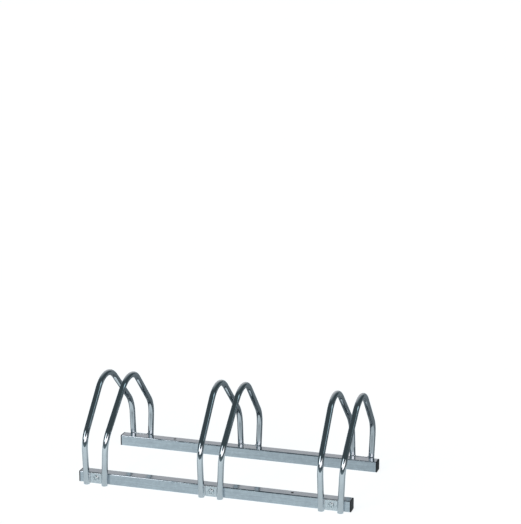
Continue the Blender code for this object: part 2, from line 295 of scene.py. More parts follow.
def open_shape_tree(name, *sockets):
    """A geometry tree that takes a shape, these sockets and a material."""
    shape = (SHAPE, ("Geometry",))
    return open_tree(name, 'GeometryNodeTree', (shape, *sockets, (FINISH, ("Material",))), (shape,))


def close_shape_tree(tree, given, result, shape):
    """Realize the shape, give it its material and hand it on."""
    shape = step(tree, 'GeometryNodeRealizeInstances', {"Geometry": shape})
    shape = step(tree, 'GeometryNodeSetMaterial', {"Geometry": shape, "Material": given["Material"]})
    wire(tree, result, {"Geometry": shape})
    return tree


def open_material(name):
    """A material with nodes. Returns it, its tree and its shader."""
    material = bpy.data.materials.new(name)
    material.use_nodes = True
    return material, material.node_tree, material.node_tree.nodes["Principled BSDF"]


# Finishes

# Stretches of a noise that turn into clouds, drawn lines and rubbed places
CLOUD_BAND = (0.36, 0.66)
LINE_BAND = (0.35, 0.65)
RUBBED_BAND = (0.45, 0.75)

# How much the noise of the lines is drawn out, how much the grains show, and how caps look where rubbed
LINE_SQUEEZE = 0.015
GRAIN_AMOUNT = 0.06
RUBBED_PALER = 0.018
CAP_ROUGHNESS = (0.42, 0.56)


def plating_group():
    """Bright zinc plating: clouds of paler zinc, fine drawn lines along the steel and an uneven gloss."""
    name = "Zinc plating"
    if name in bpy.data.node_groups:
        return bpy.data.node_groups[name]
    inputs = (
        (PLACE, ("Pattern", "Line Stretch")),
        (COLOUR, ("Zinc", "Cloud")),
        (NUMBER, ("Cloud Size", "Cloud Amount", "Line Amount", "Roughness", "Roughness Spread")),
    )
    outputs = ((COLOUR, ("Colour",)), (NUMBER, ("Roughness", "Height")))
    tree, given, result = open_tree(name, 'ShaderNodeTree', inputs, outputs)
    pattern = given["Pattern"]
    scale = sums(tree, 'DIVIDE', 1.0, given["Cloud Size"])
    clouds = spread(tree, step(tree, 'ShaderNodeTexNoise', {
        "Vector": pattern, "Scale": scale, "Detail": 4.0, "Roughness": 0.55, "Distortion": 0.4,
    }), *CLOUD_BAND)
    stretched = step(tree, 'ShaderNodeVectorMath', {0: pattern, 1: given["Line Stretch"]},
                     operation='MULTIPLY')
    lines = spread(tree, step(tree, 'ShaderNodeTexNoise', {
        "Vector": stretched, "Scale": 900.0, "Detail": 3.0, "Roughness": 0.6,
    }), *LINE_BAND)
    grain = put(tree, 'ShaderNodeTexVoronoi', {"Vector": pattern, "Scale": 520.0})
    grains = step(tree, 'ShaderNodeSeparateColor', {"Color": grain.outputs["Color"]})
    amount = times(tree, clouds, given["Cloud Amount"])
    clouded = blend_colours(tree, amount, given["Zinc"], given["Cloud"])
    shade = times(tree, sums(tree, 'SUBTRACT', lines, 0.5), given["Line Amount"])
    shade = sums(tree, 'ADD', shade, times(tree, sums(tree, 'SUBTRACT', grains, 0.5), GRAIN_AMOUNT))
    level = sums(tree, 'ADD', 1.0, times(tree, shade, 0.5))
    uneven = sums(tree, 'SUBTRACT', times(tree, sums(tree, 'ADD', clouds, lines), 0.5), 0.5)
    peel = step(tree, 'ShaderNodeTexNoise', {"Vector": pattern, "Scale": 420.0, "Detail": 2.0})
    wire(tree, result, {
        "Colour": step(tree, 'ShaderNodeVectorMath', {0: clouded, "Scale": level}, operation='SCALE'),
        "Roughness": sums(tree, 'MULTIPLY_ADD', uneven, given["Roughness Spread"], given["Roughness"]),
        "Height": sums(tree, 'ADD', times(tree, lines, given["Line Amount"]), peel),
    })
    return tree


def pattern_coordinates(tree, source):
    """Coordinates that run along the steel: the piece's own attribute, or Object coordinates."""
    if source == 'ATTRIBUTE':
        return put(tree, 'ShaderNodeAttribute', attribute_name=PATTERN).outputs["Vector"]
    return put(tree, 'ShaderNodeTexCoord').outputs["Object"]


def zinc_material(name, zinc, roughness, source='ATTRIBUTE', along='Z', lines=0.3, clouds=0.5,
                  spread_of_gloss=0.08, bump=0.00002, cloud=None, cloud_size=None):
    """A zinc-plated finish of its own colour and gloss, with drawn lines along one axis."""
    settings = bpy.context.scene.bicycle_rack.finish
    material, tree, shader = open_material(name)
    plating = put(tree, 'ShaderNodeGroup', {
        "Pattern": pattern_coordinates(tree, source),
        "Zinc": (*zinc, 1.0),
        "Cloud": (*(cloud or settings.zinc_cloud), 1.0),
        "Cloud Size": cloud_size or settings.cloud,
        "Cloud Amount": clouds,
        "Line Stretch": [LINE_SQUEEZE if axis == along else 1.0 for axis in "XYZ"],
        "Line Amount": lines,
        "Roughness": roughness,
        "Roughness Spread": spread_of_gloss,
    }, node_tree=plating_group()).outputs
    wire(tree, shader, {
        "Base Color": plating["Colour"],
        "Roughness": plating["Roughness"],
        "Normal": step(tree, 'ShaderNodeBump', {
            "Height": plating["Height"], "Strength": 1.0, "Distance": bump,
        }),
        "Metallic": 1.0,
    })
    material.diffuse_color = (*zinc, 1.0)
    return material


def plastic_material(name, plastic):
    """Black moulded plastic: a fine spark-eroded grain, with paler rubbed places."""
    material, tree, shader = open_material(name)
    place = pattern_coordinates(tree, 'OBJECT')
    grain = step(tree, 'ShaderNodeTexNoise', {"Vector": place, "Scale": 1400.0, "Detail": 3.0})
    rubbed = step(tree, 'ShaderNodeTexNoise', {"Vector": place, "Scale": 90.0, "Detail": 5.0})
    rub = spread(tree, rubbed, *RUBBED_BAND)
    pale = [value + RUBBED_PALER for value in plastic]
    wire(tree, shader, {
        "Base Color": blend_colours(tree, rub, (*plastic, 1.0), (*pale, 1.0)),
        "Roughness": spread(tree, rub, 0.0, 1.0, *CAP_ROUGHNESS),
        "Normal": step(tree, 'ShaderNodeBump', {"Height": grain, "Distance": 0.00006}),
    })
    material.diffuse_color = (*plastic, 1.0)
    return material


# Meshes

def mesh_object(name, bm, material=None):
    mesh = bpy.data.meshes.new(name)
    bm.to_mesh(mesh)
    bm.free()
    item = bpy.data.objects.new(name, mesh)
    bpy.context.collection.objects.link(item)
    if material is not None:
        mesh.materials.append(material)
    return item


def plain(item, smooth_angle=None):
    """Turn an object with its modifiers into a plain mesh."""
    graph = bpy.context.evaluated_depsgraph_get()
    mesh = bpy.data.meshes.new_from_object(item.evaluated_get(graph), depsgraph=graph)
    item.modifiers.clear()
    spent = item.data
    item.data = mesh
    mesh.name = item.name
    bpy.data.meshes.remove(spent)
    if smooth_angle is not None:
        mesh.shade_smooth()
        mesh.set_sharp_from_angle(angle=smooth_angle)
    return item


def even_normals(item):
    """Keep large flat faces flat beside rounded edges."""
    item.data.shade_smooth()
    item.data.set_sharp_from_angle(angle=SMOOTH_ANGLE)
    weighted = item.modifiers.new("even_normals", 'WEIGHTED_NORMAL')
    weighted.keep_sharp = True
    return plain(item)


def cut_out(item, name, bm):
    """Cut a body out of an object."""
    cutter = mesh_object(name, facing_out(bm))
    cut = item.modifiers.new("cut_out", 'BOOLEAN')
    cut.operation = 'DIFFERENCE'
    cut.solver = 'EXACT'
    cut.object = cutter
    plain(item)
    bpy.data.objects.remove(cutter, do_unlink=True)
    return item


def soften_edges(item, width):
    """Round the sharp edges of an object by a small width."""
    bevel = item.modifiers.new("soften_edges", 'BEVEL')
    bevel.width = width
    bevel.segments = BEVEL_STEPS
    bevel.limit_method = 'ANGLE'
    bevel.angle_limit = BEVEL_ANGLE
    return plain(item)


def ring_of(bm, points):
    return [bm.verts.new(point) for point in points]


def bridge(bm, rings, closed=False):
    """Join rings of equally many vertices; closed joins the last ring to the first."""
    pairs = list(zip(rings, rings[1:]))
    if closed:
        pairs.append((rings[-1], rings[0]))
    for near, far in pairs:
        sides = len(near)
        for i in range(sides):
            j = (i + 1) % sides
            bm.faces.new((near[i], near[j], far[j], far[i]))


def solid(bm, outlines):
    """Join outlines of equally many points into a closed body, and return their rings."""
    rings = [ring_of(bm, points) for points in outlines]
    bridge(bm, rings)
    bm.faces.new(rings[0])
    bm.faces.new(rings[-1])
    return rings


def quarter_round(radius, steps):
    """How far a rounded edge lies inside and below its sharp corner, from its top to its side."""
    for i in range(steps + 1):
        a = math.pi / 2 * i / steps
        yield radius * (1 - math.sin(a)), radius * (1 - math.cos(a))


def circle(radius, sides, outward):
    turns = [2 * math.pi * i / sides for i in range(sides)]
    return [(radius * math.cos(a), radius * math.sin(a), outward) for a in turns]


def rounded_square(half, corner, steps, outward):
    """A square with round corners, across the outward axis."""
    points = []
    for quarter in range(4):
        middle = math.radians(45 + 90 * quarter)
        centre_u = math.copysign(half - corner, math.cos(middle))
        centre_v = math.copysign(half - corner, math.sin(middle))
        for i in range(steps + 1):
            a = math.radians(90 * quarter + 90 * i / steps)
            points.append((centre_u + corner * math.cos(a), centre_v + corner * math.sin(a), outward))
    return points


def on_rail_face(side, x, z=0.0):
    """Local Z points outward from a rail's outer face, local Y up."""
    turn = Matrix(((-side, 0, 0), (0, 0, side), (0, 1, 0))).to_4x4()
    return Matrix.Translation((x, side * FACE_Y, z)) @ turn


def on_rail_end(end, y):
    """Local Z points outward from a rail's end, local Y up."""
    turn = Matrix(((0, 0, end), (end, 0, 0), (0, 1, 0))).to_4x4()
    return Matrix.Translation((end * RAIL_END_X, y, RAIL_SIDE / 2)) @ turn


def drill(bm, radius, sides, near, far, matrix):
    """A closed cylinder between two depths along local Z."""
    rings = solid(bm, [circle(radius, sides, outward) for outward in (near, far)])
    bmesh.ops.transform(bm, matrix=matrix, verts=[vert for ring in rings for vert in ring])


def facing_out(bm):
    bmesh.ops.recalc_face_normals(bm, faces=bm.faces)
    return bm


def carry(piece, slot, *nodes):
    """Fasten a finished piece to the rack in place of its CAD nodes."""
    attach(piece, "root")
    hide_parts(*nodes)
    return piece


def grow(name, tree, values, source=None):
    """Set a geometry tree on an object, with its inputs by their sockets' identifiers."""
    item = mesh_object(name, source or bmesh.new())
    modifier = item.modifiers.new(name, 'NODES')
    modifier.node_group = tree
    for socket in tree.interface.items_tree:
        if socket.in_out == 'INPUT' and socket.name in values:
            modifier[socket.identifier] = values[socket.name]
    return item


def plate_places():
    """Every link plate's name, side, number and place along its rail."""
    for name, side in SIDES:
        for number, slot_x in enumerate(SLOT_X, start=1):
            yield "%s_%d" % (name, number), side, number, slot_x


# Rails and caps

def make_rail(side, name, settings, material):
    bm = bmesh.new()
    half = RAIL_SIDE / 2
    outside = (half, settings.corner, (-1, 1))
    inside = (half - settings.wall, settings.corner / 2, (1, -1))
    rings = []
    for reach, corner, ends in (outside, inside):
        for end in ends:
            points = rounded_square(reach, corner, settings.corner_steps, end * RAIL_END_X)
            rings.append(ring_of(bm, points))
    bridge(bm, rings, closed=True)
    along_x = Matrix(((0, 0, 1), (1, 0, 0), (0, 1, 0))).to_4x4()
    bm.transform(Matrix.Translation((0, side * RAIL_Y, half)) @ along_x)
    rail = mesh_object("zinc_rail_" + name, facing_out(bm), material)

    holes = bmesh.new()
    depth = settings.wall * 2
    for x in SLOT_X:
        matrix = on_rail_face(side, x, SCREW_Z)
        drill(holes, settings.nut_hole / 2, settings.hole_sides, depth, -depth, matrix)
    fixing_x = -side * (SLOT_X[-1] - settings.fixing_inset)
    down = Matrix.Translation((fixing_x, side * RAIL_Y, 0))
    drill(holes, settings.fixing_hole / 2, settings.hole_sides, -depth, RAIL_SIDE + depth, down)
    cut_out(rail, "rail_holes", holes)
    even_normals(rail)
    carry(rail, "rail_zinc", name + "_rail")


class RACK_OT_rails(bpy.types.Operator):
    """Build the front and the rear rail, with their rivet nut and fixing holes"""
    bl_idname = "rack.rails"
    bl_label = "Rails"

    def execute(self, context):
        rack = context.scene.bicycle_rack
        zinc = zinc_material("zinc_on_rails", rack.finish.zinc, rack.finish.rail_gloss, source='OBJECT',
                             along='X', lines=0.45, clouds=0.8, bump=0.000008)
        for name, side in SIDES:
            make_rail(side, name, rack.rails, zinc)
        return {'FINISHED'}


def cap_rows(settings, wall, corner):
    """Outline of a cap from the middle of its head to the floor of its plug: outward, half, corner."""
    half = RAIL_SIDE / 2
    rib = half - wall - CLEAR
    sleeve = rib - settings.rib
    hollow = sleeve - settings.plug_wall
    flat = half - settings.edge
    rows = []
    for i in range(1, CAP_STEPS + 1):
        share_out = i / (CAP_STEPS + 1)
        crown = settings.crown * (1 - share_out ** 2)
        rows.append((settings.rim + crown, flat * share_out, (corner - settings.edge) * share_out))
    for inset, drop in quarter_round(settings.edge, CAP_STEPS):
        rows.append((settings.rim - drop, half - inset, corner - inset))
    rows.append((CLEAR, half, corner))
    rows.append((CLEAR, sleeve, wall))
    for i in range(settings.ribs):
        start = -settings.rib_pitch * (i + 0.5)
        rows.append((start, sleeve, wall))
        rows.append((start - settings.rib / 2, rib, wall))
        rows.append((start - 2 * settings.rib, sleeve, wall))
    rows.append((-settings.plug, sleeve - CLEAR, wall))
    rows.append((-settings.plug, hollow, wall / 2))
    rows.append((CLEAR, hollow, wall / 2))
    return rows


class RACK_OT_end_caps(bpy.types.Operator):
    """Build the push-in plastic caps in the ends of the rails"""
    bl_idname = "rack.end_caps"
    bl_label = "End caps"

    def execute(self, context):
        rack = context.scene.bicycle_rack
        plastic = plastic_material("black_cap_plastic", rack.finish.plastic)
        rows = cap_rows(rack.caps, rack.rails.wall, rack.rails.corner)
        for name, side in SIDES:
            for hand, end in HANDS:
                bm = bmesh.new()
                solid(bm, [rounded_square(half, corner, rack.caps.corner_steps, outward)
                           for outward, half, corner in rows])
                bm.transform(on_rail_end(end, side * RAIL_Y))
                place = name + "_" + hand
                cap = mesh_object("plastic_cap_" + place, facing_out(bm), plastic)
                even_normals(cap)
                carry(cap, "cap_black", "end_cap_" + place)
        return {'FINISHED'}


# Hoops

# Below this height the end of a tube is its foot
FOOT_REACH = 0.001


def hoop_tree():
    """Round tube along a line of five points whose corners are filleted, its feet cut level."""
    tree, given, result = open_shape_tree(
        "Bent tube hoop",
        (NUMBER, ("Leg Offset", "Bend Height", "Apex Height", "Bend Radius", "Top Radius",
                  "Tube Radius", "Lean", "Foot X")),
        (COUNT, ("Bend Steps", "Tube Sides")),
    )
    leg, bend, tube_radius = given["Leg Offset"], given["Bend Height"], given["Tube Radius"]
    back = times(tree, leg, -1.0)
    corners = []
    for across, up in ((back, 0.0), (back, bend), (0.0, given["Apex Height"]), (leg, bend), (leg, 0.0)):
        corners.append(step(tree, 'ShaderNodeCombineXYZ', {"Y": across, "Z": up}))
    index = step(tree, 'GeometryNodeInputIndex')
    place = put(tree, 'GeometryNodeIndexSwitch', {"Index": index}, data_type='VECTOR')
    radius = put(tree, 'GeometryNodeIndexSwitch', {"Index": index}, data_type='FLOAT')
    for switch in (place, radius):
        while len(switch.index_switch_items) < len(corners):
            switch.index_switch_items.new()
    for i, corner in enumerate(corners):
        wire(tree, place, {i + 1: corner})
        wire(tree, radius, {i + 1: given["Top Radius" if i == 2 else "Bend Radius"]})
    line = step(tree, 'GeometryNodeMeshLine', {"Count": len(corners)})
    bent = step(tree, 'GeometryNodeSetPosition', {"Geometry": line, "Position": place.outputs[0]})
    path = step(tree, 'GeometryNodeMeshToCurve', {"Mesh": bent})
    path = step(tree, 'GeometryNodeFilletCurve', {
        "Curve": path, "Count": given["Bend Steps"], "Radius": radius.outputs[0],
    }, mode='POLY')
    section = step(tree, 'GeometryNodeCurvePrimitiveCircle', {
        "Resolution": given["Tube Sides"], "Radius": tube_radius,
    })
    captured = []
    for title, curve, measure in (("Along", path, "Length"), ("Around", section, "Factor")):
        capture = put(tree, 'GeometryNodeCaptureAttribute')
        capture.capture_items.new('FLOAT', title)
        wire(tree, capture, {0: curve, 1: put(tree, 'GeometryNodeSplineParameter').outputs[measure]})
        captured.append(capture.outputs)
    along, around = captured
    tube = step(tree, 'GeometryNodeCurveToMesh', {"Curve": along[0], "Profile Curve": around[0]})

    angle = times(tree, around[1], 2 * math.pi)
    pattern = step(tree, 'ShaderNodeCombineXYZ', {
        "X": times(tree, sums(tree, 'COSINE', angle), tube_radius),
        "Y": times(tree, sums(tree, 'SINE', angle), tube_radius),
        "Z": sums(tree, 'ADD', along[1], given["Foot X"]),
    })
    tube = step(tree, 'GeometryNodeStoreNamedAttribute', {
        "Geometry": tube, "Name": PATTERN, "Value": pattern,
    }, data_type='FLOAT_VECTOR', domain='POINT')

    at = put(tree, 'ShaderNodeSeparateXYZ', {0: step(tree, 'GeometryNodeInputPosition')}).outputs
    foot = sums(tree, 'LESS_THAN', at["Z"], FOOT_REACH)
    level = times(tree, at["X"], sums(tree, 'TANGENT', given["Lean"]))
    cut = step(tree, 'ShaderNodeCombineXYZ', {"X": at["X"], "Y": at["Y"], "Z": level})
    tube = step(tree, 'GeometryNodeSetPosition', {"Geometry": tube, "Selection": foot, "Position": cut})
    tube = step(tree, 'GeometryNodeTransform', {
        "Geometry": tube,
        "Translation": step(tree, 'ShaderNodeCombineXYZ', {"X": given["Foot X"]}),
        "Rotation": step(tree, 'ShaderNodeCombineXYZ', {"Y": given["Lean"]}),
    })
    return close_shape_tree(tree, given, result, tube)


def apex_height(settings, leg):
    """Where the two slopes would meet, so that the top of the tube has the hoop's height."""
    top_centre = HOOP_TOP / math.cos(settings.splay) - settings.tube / 2 - settings.top_radius
    rise = top_centre - settings.bend_height
    slope = math.atan2(rise, leg) + math.asin(settings.top_radius / math.hypot(rise, leg))
    return top_centre + settings.top_radius / math.cos(slope)


class RACK_OT_hoops(bpy.types.Operator):
    """Bend the six tube hoops that hold the wheels"""
    bl_idname = "rack.hoops"
    bl_label = "Hoops"

    def execute(self, context):
        rack = context.scene.bicycle_rack
        settings = rack.hoops
        zinc = zinc_material("zinc_on_tubes", rack.finish.tube_zinc, rack.finish.tube_gloss,
                             lines=0.30, clouds=0.45, spread_of_gloss=0.05, bump=0.00001,
                             cloud=rack.finish.tube_cloud)
        tree = hoop_tree()
        leg = FACE_Y + CLEAR + settings.tube / 2
        sizes = {
            "Leg Offset": leg,
            "Bend Height": settings.bend_height,
            "Apex Height": apex_height(settings, leg),
            "Bend Radius": settings.bend_radius,
            "Top Radius": settings.top_radius,
            "Bend Steps": settings.bend_steps,
            "Tube Radius": settings.tube / 2,
            "Tube Sides": settings.tube_sides,
            "Material": zinc,
        }
        for number, slot_x in enumerate(SLOT_X, start=1):
            for hand, sign in HANDS:
                place = "%d_%s" % (number, hand)
                sizes["Lean"] = sign * settings.splay
                sizes["Foot X"] = slot_x + sign * settings.foot_spacing / 2
                hoop = grow("zinc_hoop_" + place, tree, sizes)
                wall = hoop.modifiers.new("wall", 'SOLIDIFY')
                wall.thickness = settings.wall
                wall.offset = -1.0
                plain(hoop, SMOOTH_ANGLE)
                for vert in hoop.data.vertices:
                    if vert.co.z < settings.wall / 2:
                        vert.co.z = 0.0
                carry(hoop, "hoop_zinc", "hoop_" + place)
        return {'FINISHED'}


# Link plates, welds and screws

# Facets along the hollow edge of a plate
HUG_STEPS = 2


def plate_edge(height, rack):
    """Half outline of a plate, hollowed along the leg that it is welded to."""
    leg = rack.hoops.foot_spacing / 2 + height * math.tan(rack.hoops.splay)
    axis = CLEAR + rack.hoops.tube / 2
    hug = rack.hoops.tube / 2 + CLEAR
    start = math.asin((axis - rack.plates.back) / hug)
    stop = math.asin((axis - rack.plates.back - rack.plates.thickness) / hug)
    points = []
    for i in range(HUG_STEPS + 1):
        a = start + (stop - start) * i / HUG_STEPS
        points.append((leg - hug * math.cos(a), axis - hug * math.sin(a)))
    return points


class RACK_OT_link_plates(bpy.types.Operator):
    """Build the plates that join the two legs of each pair of hoops"""
    bl_idname = "rack.link_plates"
    bl_label = "Link plates"

    def execute(self, context):
        rack = context.scene.bicycle_rack
        settings = rack.plates
        zinc = zinc_material("zinc_on_plates", rack.finish.plate_zinc, roughness=0.17, source='OBJECT',
                             along='X', lines=0.1, clouds=1.0, spread_of_gloss=0.16, bump=0.00014,
                             cloud=rack.finish.plate_cloud, cloud_size=0.005)
        for place, side, _, slot_x in plate_places():
            bm = bmesh.new()
            outlines = []
            for height in (settings.rise, PLATE_TOP):
                edge = plate_edge(height, rack)
                right = [(x, height, out) for x, out in edge]
                outlines.append(right + [(-x, height, out) for x, out in reversed(edge)])
            solid(bm, outlines)
            bm.transform(on_rail_face(side, slot_x))
            plate = mesh_object("zinc_plate_" + place, facing_out(bm), zinc)
            soften_edges(plate, settings.edge)
            hole = bmesh.new()
            far = settings.back + 2 * settings.thickness
            drill(hole, settings.hole / 2, PLATE_HOLE_SIDES, 0.0, far, on_rail_face(side, slot_x, SCREW_Z))
            cut_out(plate, "plate_hole", hole)
            even_normals(plate)
            carry(plate, "plate_zinc", "link_plate_" + place)
        return {'FINISHED'}


# A bead: steps in a ripple, least and added swell, how bluntly it ends and what is left at its tips
RIPPLE_STEPS = 6.0
LEAST_SWELL = 0.75
ADDED_SWELL = 0.5
END_POWER = 12.0
END_LEAST = 0.001


def weld_tree():
    """A rippled bead along every edge of the input mesh, tapered at both ends."""
    tree, given, result = open_shape_tree(
        "Weld bead",
        (NUMBER, ("Bead Radius", "Ripple Pitch", "Ripple", "Wander", "Seed")),
        (COUNT, ("Sides",)),
    )
    pitch, ripple = given["Ripple Pitch"], given["Ripple"]
    path = step(tree, 'GeometryNodeMeshToCurve', {"Mesh": given["Geometry"]})
    spacing = sums(tree, 'DIVIDE', pitch, RIPPLE_STEPS)
    path = step(tree, 'GeometryNodeResampleCurve', {"Curve": path, "Length": spacing}, mode='LENGTH')
    stray = put(tree, 'ShaderNodeTexNoise', {
        "Vector": step(tree, 'GeometryNodeInputPosition'), "W": given["Seed"], "Scale": 160.0, "Detail": 2.0,
    }, noise_dimensions='4D').outputs
    drift = step(tree, 'ShaderNodeVectorMath', {0: stray["Color"], 1: (0.5, 0.5, 0.5)}, operation='SUBTRACT')
    drift = step(tree, 'ShaderNodeVectorMath', {0: drift, "Scale": given["Wander"]}, operation='SCALE')
    path = step(tree, 'GeometryNodeSetPosition', {"Geometry": path, "Offset": drift})
    spline = put(tree, 'GeometryNodeSplineParameter').outputs
    turns = sums(tree, 'DIVIDE', spline["Length"], pitch)
    wave = sums(tree, 'ABSOLUTE', sums(tree, 'SINE', times(tree, turns, math.pi)))
    rippled = sums(tree, 'MULTIPLY_ADD', wave, ripple, sums(tree, 'SUBTRACT', 1.0, ripple))
    swell = sums(tree, 'MULTIPLY_ADD', stray["Fac"], ADDED_SWELL, LEAST_SWELL)
    middle = sums(tree, 'ABSOLUTE', sums(tree, 'MULTIPLY_ADD', spline["Factor"], 2.0, -1.0))
    ends = sums(tree, 'POWER', middle, END_POWER)
    taper = sums(tree, 'SQRT', sums(tree, 'SUBTRACT', 1.0 + END_LEAST, ends))
    radius = times(tree, times(tree, rippled, taper), times(tree, swell, given["Bead Radius"]))
    section = step(tree, 'GeometryNodeCurvePrimitiveCircle', {"Resolution": given["Sides"], "Radius": 1.0})
    bead = step(tree, 'GeometryNodeCurveToMesh', {
        "Curve": path, "Profile Curve": section, "Scale": radius, "Fill Caps": True,
    })
    return close_shape_tree(tree, given, result, bead)


class RACK_OT_welds(bpy.types.Operator):
    """Lay the weld beads between the link plates and the legs"""
    bl_idname = "rack.welds"
    bl_label = "Welds"

    def execute(self, context):
        rack = context.scene.bicycle_rack
        settings = rack.welds
        zinc = zinc_material("zinc_on_welds", rack.finish.weld_zinc, roughness=0.34, source='OBJECT',
                             lines=0.0, clouds=1.0, spread_of_gloss=0.2, bump=0.00026,
                             cloud=rack.finish.plate_cloud, cloud_size=0.004)
        tree = weld_tree()
        sizes = {
            "Bead Radius": settings.bead,
            "Ripple Pitch": settings.ripple_pitch,
            "Ripple": settings.ripple,
            "Wander": settings.wander,
            "Sides": settings.bead_sides,
            "Material": zinc,
        }
        front = rack.plates.back + rack.plates.thickness
        for place, side, number, slot_x in plate_places():
            lines = bmesh.new()
            for sign in (-1, 1):
                spots = []
                for height in (rack.plates.rise + settings.bead / 2, PLATE_TOP - settings.bead / 2):
                    edge_x = plate_edge(height, rack)[-1][0]
                    spots.append((sign * (edge_x + CLEAR), height, front + 2 * CLEAR))
                turned = sign * (edge_x - settings.return_length)
                spots.append((turned, PLATE_TOP - CLEAR, rack.plates.back + settings.bead))
                spots = ring_of(lines, spots)
                for ends in zip(spots, spots[1:]):
                    lines.edges.new(ends)
            lines.transform(on_rail_face(side, slot_x))
            sizes["Seed"] = float(number + 3 * side)
            weld = grow("weld_beads_" + place, tree, sizes, lines)
            plain(weld, WELD_SMOOTH_ANGLE)
            carry(weld, "plate_zinc")
        return {'FINISHED'}


def screw_rows(settings, seat):
    """Head of a screw, from the edge of its flat crown to the start of its thread."""
    half = settings.head / 2
    top = seat + settings.head_height
    rows = []
    for inset, drop in quarter_round(settings.head_round, HEAD_STEPS):
        rows.append((half - inset, top - drop))
    rows.append((half, seat + CLEAR / 2))
    rows.append((half - CLEAR / 2, seat))
    rows.append((settings.thread / 2, seat))
    return rows


def thread_outlines(settings, seat):
    """Outlines down the shank whose corners rise and fall with the turn of the thread."""
    start = seat - 2 * settings.thread_pitch
    stop = seat - settings.screw_length + settings.thread_pitch / 2
    steps = round((start - stop) / settings.thread_pitch * THREAD_STEPS)
    depth = (settings.thread - settings.core) / 2
    outlines = []
    for k in range(steps + 1):
        outward = start + (stop - start) * k / steps
        fade = min(1.0, k / THREAD_STEPS, (steps - k) / THREAD_STEPS)
        points = []
        for i in range(settings.sides):
            turn = i / settings.sides
            phase = (outward / settings.thread_pitch - turn) % 1.0
            groove = 1 - abs(2 * phase - 1)
            radius = settings.thread / 2 - depth * (1 - groove) * fade - depth * (1 - fade) * (k > steps / 2)
            angle = 2 * math.pi * turn
            points.append((radius * math.cos(angle), radius * math.sin(angle), outward))
        outlines.append(points)
    return outlines


def cross_corners(span, slot, outward):
    """Twelve corners of a cross recess."""
    corners = []
    for quarter in range(4):
        spin = Matrix.Rotation(quarter * math.pi / 2, 3, 'Z')
        for u, v in ((span / 2, -slot / 2), (span / 2, slot / 2), (slot / 2, slot / 2)):
            corners.append(spin @ Vector((u, v, outward)))
    return corners


# Size of the recess at its bottom, as shares of its size at the top
RECESS_SPAN_BELOW = 0.55
RECESS_SLOT_BELOW = 0.7


def one_screw(settings, seat, material):
    """A pan-head screw about local Z, with a cross recess and a cut thread."""
    bm = bmesh.new()
    head = [circle(radius, settings.sides, outward) for radius, outward in screw_rows(settings, seat)]
    solid(bm, head + thread_outlines(settings, seat))
    screw = mesh_object("one_screw", facing_out(bm), material)
    top = seat + settings.head_height
    span, slot = settings.recess_span, settings.recess_slot
    plug = bmesh.new()
    rows = (
        (span, slot, top + CLEAR),
        (span * RECESS_SPAN_BELOW, slot * RECESS_SLOT_BELOW, top - settings.recess_depth),
    )
    solid(plug, [cross_corners(*row) for row in rows])
    cut_out(screw, "cross_recess", plug)
    screw.data.shade_smooth()
    screw.data.set_sharp_from_angle(angle=SMOOTH_ANGLE)
    pattern = screw.data.attributes.new(PATTERN, 'FLOAT_VECTOR', 'POINT')
    for vert, value in zip(screw.data.vertices, pattern.data):
        value.vector = vert.co
    return screw


def placing_tree():
    """One object set at every point of the input mesh, turned as the point's attributes say."""
    tree, given, result = open_shape_tree("Parts at points", ('NodeSocketObject', ("Part",)))
    part = put(tree, 'GeometryNodeObjectInfo', {"Object": given["Part"], "As Instance": True})
    facing = step(tree, 'GeometryNodeInputNamedAttribute', {"Name": "facing"}, data_type='FLOAT_VECTOR')
    placed = step(tree, 'GeometryNodeInstanceOnPoints', {
        "Points": given["Geometry"], "Instance": part.outputs["Geometry"], "Rotation": facing,
    })
    return close_shape_tree(tree, given, result, placed)


# How far the recess of each screw is turned, in degrees
RECESS_TURNS = (38.0, 52.0, 45.0, 30.0, 61.0, 48.0)


class RACK_OT_screws(bpy.types.Operator):
    """Set a pan-head screw through every link plate"""
    bl_idname = "rack.screws"
    bl_label = "Screws"

    def execute(self, context):
        rack = context.scene.bicycle_rack
        zinc = zinc_material("zinc_on_screws", rack.finish.screw_zinc, roughness=0.2,
                             lines=0.15, clouds=0.3)
        seat = rack.plates.back + rack.plates.thickness + CLEAR
        part = one_screw(rack.screws, seat, zinc)
        spots = bmesh.new()
        facing = spots.verts.layers.float_vector.new("facing")
        nodes = []
        for (place, side, _, slot_x), degrees in zip(plate_places(), RECESS_TURNS, strict=True):
            matrix = on_rail_face(side, slot_x, SCREW_Z)
            spot = spots.verts.new(matrix.translation)
            turn = matrix @ Matrix.Rotation(math.radians(degrees), 4, 'Z')
            spot[facing] = Vector(turn.to_euler())
            nodes.append("screw_" + place)
        screws = grow("zinc_screws", placing_tree(), {"Part": part, "Material": zinc}, spots)
        plain(screws, SMOOTH_ANGLE)
        bpy.data.objects.remove(part, do_unlink=True)
        carry(screws, "screw_zinc", *nodes)
        return {'FINISHED'}


class RACK_OT_rivet_nuts(bpy.types.Operator):
    """Finish the rivet nuts that the screws go into"""
    bl_idname = "rack.rivet_nuts"
    bl_label = "Rivet nuts"

    def execute(self, context):
        finish = context.scene.bicycle_rack.finish
        zinc = zinc_material("yellowed_zinc_on_nuts", finish.nut_zinc, roughness=0.35, source='OBJECT',
                             along='Y', lines=0.2, clouds=0.4)
        for name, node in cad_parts.items():
            if name.startswith("rivet_nut"):
                node.data.materials.clear()
                node.data.materials.append(zinc)
        return {'FINISHED'}


# Stage

WHITE = (1.0, 1.0, 1.0, 1.0)

# Camera: its place, its turn in degrees and the width of its sensor in millimetres
CAMERA_PLACE = (1.22578, -3.79633, 1.51476)
CAMERA_TURN = (76.8930, -0.1510, 16.8150)
SENSOR = 36.0

